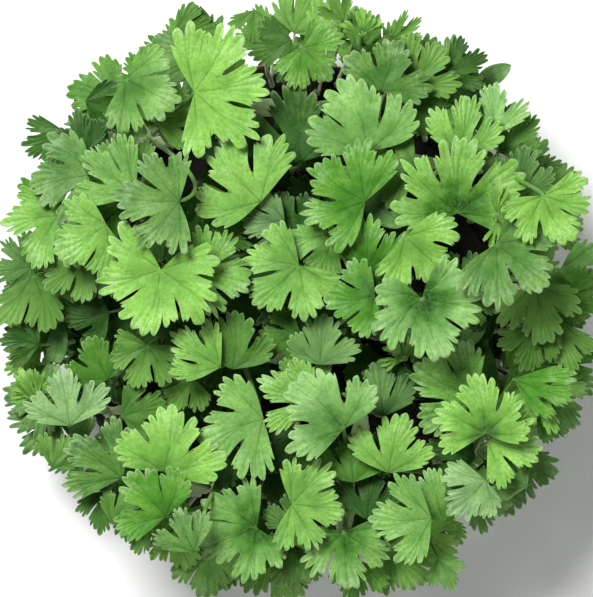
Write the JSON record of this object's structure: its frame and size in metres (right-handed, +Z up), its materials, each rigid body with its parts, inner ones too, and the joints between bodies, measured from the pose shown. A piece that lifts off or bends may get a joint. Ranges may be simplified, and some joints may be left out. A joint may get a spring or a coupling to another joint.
{
  "type": "patch of cilantro microgreens",
  "caption": "Round living patch of cilantro microgreens: lobed, toothed leaves over pale stems, seed leaves and a thin slab of growing medium on its flat root mat.",
  "frame": {"origin": "centre of the flat underside of the root mat, on the surface that the patch rests on", "axes": "+Z up through the canopy; +X and +Y lie in the resting plane, +Y towards the side that is the top when the canopy is seen from above"},
  "size_m": [0.1243, 0.1213, 0.0711],
  "materials": {
    "leaf_green": "soft satin leaf skin with fine palmate veins and a pale thin rim",
    "stem_green": "juicy smooth skin, whitish at the foot and greener above",
    "growing_medium": "damp crumbly coir and peat",
    "roots": "matte knitted white root hairs"
  },
  "bodies": {
    "root": {"root_mat": "roots", "growing_medium": "growing_medium", "stem_01": "stem_green", "stem_02": "stem_green", "stem_03": "stem_green", "stem_04": "stem_green", "stem_05": "stem_green", "stem_06": "stem_green", "stem_07": "stem_green", "stem_08": "stem_green", "stem_09": "stem_green", "stem_10": "stem_green", "stem_11": "stem_green", "stem_12": "stem_green", "leaf_01": "leaf_green", "leaf_02": "leaf_green", "leaf_03": "leaf_green", "leaf_04": "leaf_green", "leaf_05": "leaf_green", "leaf_06": "leaf_green", "leaf_07": "leaf_green", "leaf_08": "leaf_green", "leaf_09": "leaf_green", "leaf_10": "leaf_green", "leaf_11": "leaf_green", "leaf_12": "leaf_green", "leaf_13": "leaf_green", "leaf_14": "leaf_green", "leaf_15": "leaf_green", "leaf_16": "leaf_green", "leaf_17": "leaf_green", "leaf_18": "leaf_green", "leaf_19": "leaf_green", "leaf_20": "leaf_green", "leaf_21": "leaf_green", "leaf_22": "leaf_green", "leaf_23": "leaf_green", "leaf_24": "leaf_green", "leaf_25": "leaf_green", "leaf_26": "leaf_green", "leaf_27": "leaf_green", "leaf_28": "leaf_green", "leaf_29": "leaf_green", "leaf_30": "leaf_green", "leaf_31": "leaf_green", "leaf_32": "leaf_green", "leaf_33": "leaf_green", "leaf_34": "leaf_green", "leaf_35": "leaf_green", "leaf_36": "leaf_green", "leaf_37": "leaf_green", "leaf_38": "leaf_green", "leaf_39": "leaf_green", "leaf_40": "leaf_green", "leaf_41": "leaf_green", "leaf_42": "leaf_green", "leaf_43": "leaf_green", "leaf_44": "leaf_green", "leaf_45": "leaf_green", "leaf_46": "leaf_green"}
  },
  "joints": []
}
